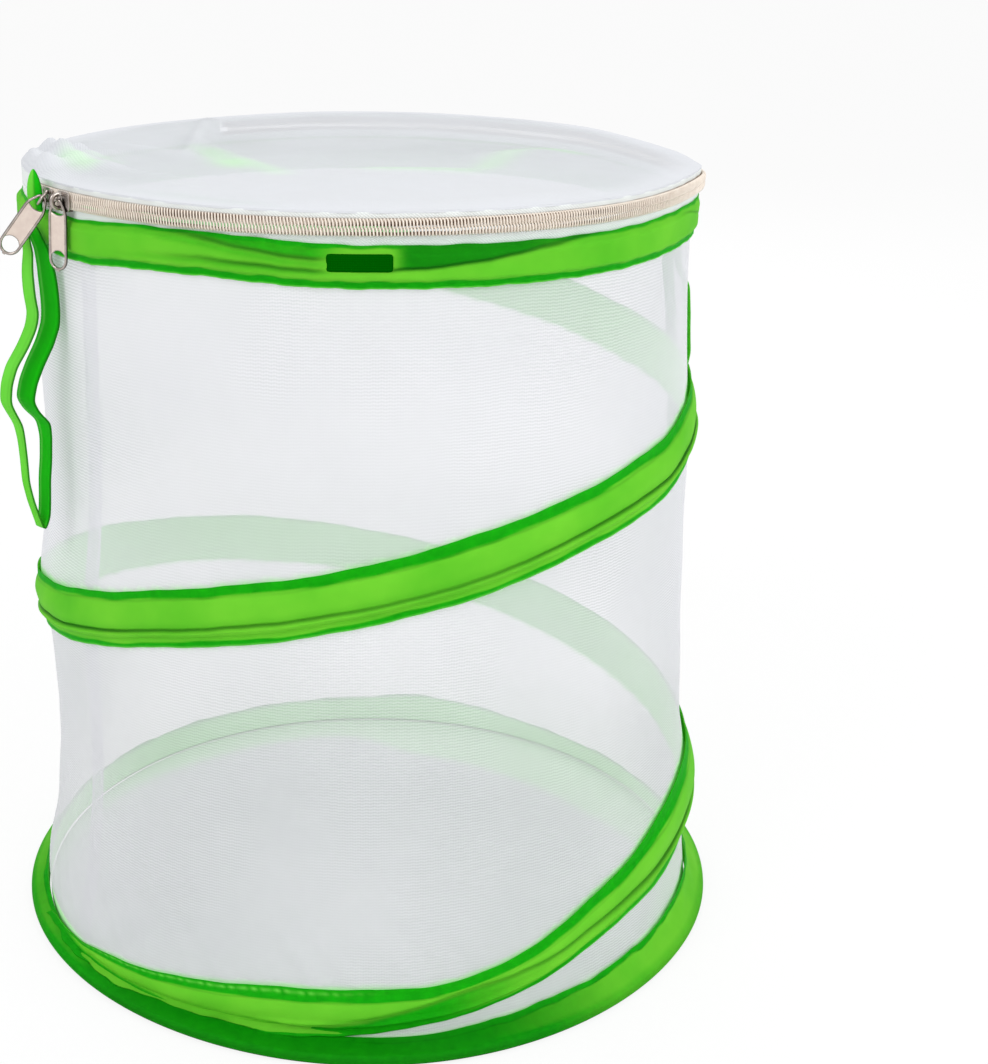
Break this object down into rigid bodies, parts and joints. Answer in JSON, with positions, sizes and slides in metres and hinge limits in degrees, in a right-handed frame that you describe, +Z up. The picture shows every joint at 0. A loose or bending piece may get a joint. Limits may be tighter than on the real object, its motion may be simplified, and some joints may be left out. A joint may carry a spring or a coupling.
{
  "type": "insect cage",
  "caption": "Pop-up cylindrical netting cage for insects, with sleeved wire hoops, a spiral spring band, a zipped lid and two carrying loops.",
  "frame": {"origin": "on the ground below the middle of the cage", "axes": "+Z up along the cage's axis, -Y towards the side with the label, +X to the right of that side"},
  "size_m": [0.3316, 0.3316, 0.35],
  "materials": {
    "netting": "fine white polyester netting",
    "green": "smooth woven lime green polyester",
    "label": "plain dark green woven label",
    "coil": "cream nylon zip coil",
    "nickel": "polished nickel",
    "wire": "spring steel wire"
  },
  "bodies": {
    "base": {"floor_panel": "netting", "foot_hoop_wire": "wire", "foot_hoop_ferrule": "wire", "foot_band": "green", "mesh_wall": "netting", "side_seam_tape": "netting", "spiral_wire": "wire", "spiral_band": "green"},
    "top": {"top_hoop_wire": "wire", "top_hoop_ferrule": "wire", "top_band": "green", "blank_label": "label", "zip_lower_tape": "netting", "zip_lower_coil": "coil", "zip_start_stop": "nickel", "zip_end_stop": "nickel", "lid_hinge_panel": "netting", "lid_hinge_tape": "netting", "strap_root_fold": "green"},
    "lid": {"lid_panel": "netting", "zip_upper_tape": "netting", "zip_upper_coil": "coil"},
    "front_slider": {"front_slider": "nickel"},
    "rear_slider": {"rear_slider": "nickel"},
    "front_puller": {"front_puller": "nickel"},
    "rear_puller": {"rear_puller": "nickel"},
    "left_strap": {"left_strap": "green"},
    "right_strap": {"right_strap": "green"}
  },
  "joints": [
    {"name": "collapse", "type": "slide", "parent": "base", "child": "top", "axis": [0, 0, -1], "range_m": [0, 0.295], "stiffness_N_per_m": 30, "springref_m": -0.05, "deforming": ["mesh_wall", "side_seam_tape", "spiral_wire", "spiral_band", "left_strap", "right_strap", "strap_root_fold"]},
    {"name": "lid_hinge", "type": "hinge", "parent": "top", "child": "lid", "pos_m": [-0.10393, 0.03277, 0.3503], "axis": [-0.3007, -0.9537, 0], "range_deg": [0, 180]},
    {"name": "front_slider_travel", "type": "hinge", "parent": "top", "child": "front_slider", "pos_m": [0, 0, 0.344], "axis": [0, 0, 1], "range_deg": [0, 256]},
    {"name": "rear_slider_travel", "type": "hinge", "parent": "top", "child": "rear_slider", "pos_m": [0, 0, 0.344], "axis": [0, 0, 1], "range_deg": [-5.2, 1]},
    {"name": "front_puller_swing", "type": "hinge", "parent": "front_slider", "child": "front_puller", "pos_m": [-0.1189, -0.09629, 0.344], "axis": [-0.6293, 0.7771, 0], "range_deg": [0, 110]},
    {"name": "rear_puller_swing", "type": "hinge", "parent": "rear_slider", "child": "rear_puller", "pos_m": [-0.12616, -0.08799, 0.344], "axis": [-0.7923, 0, 0.6101], "range_deg": [0, 100]},
    {"name": "left_strap_swing", "type": "hinge", "parent": "top", "child": "left_strap", "pos_m": [-0.1376, -0.06416, 0.335], "axis": [-0.4226, 0.9063, 0], "range_deg": [0, 150]},
    {"name": "right_strap_swing", "type": "hinge", "parent": "top", "child": "right_strap", "pos_m": [0.14665, 0.03929, 0.335], "axis": [0.2588, -0.9659, 0], "range_deg": [0, 150]}
  ]
}
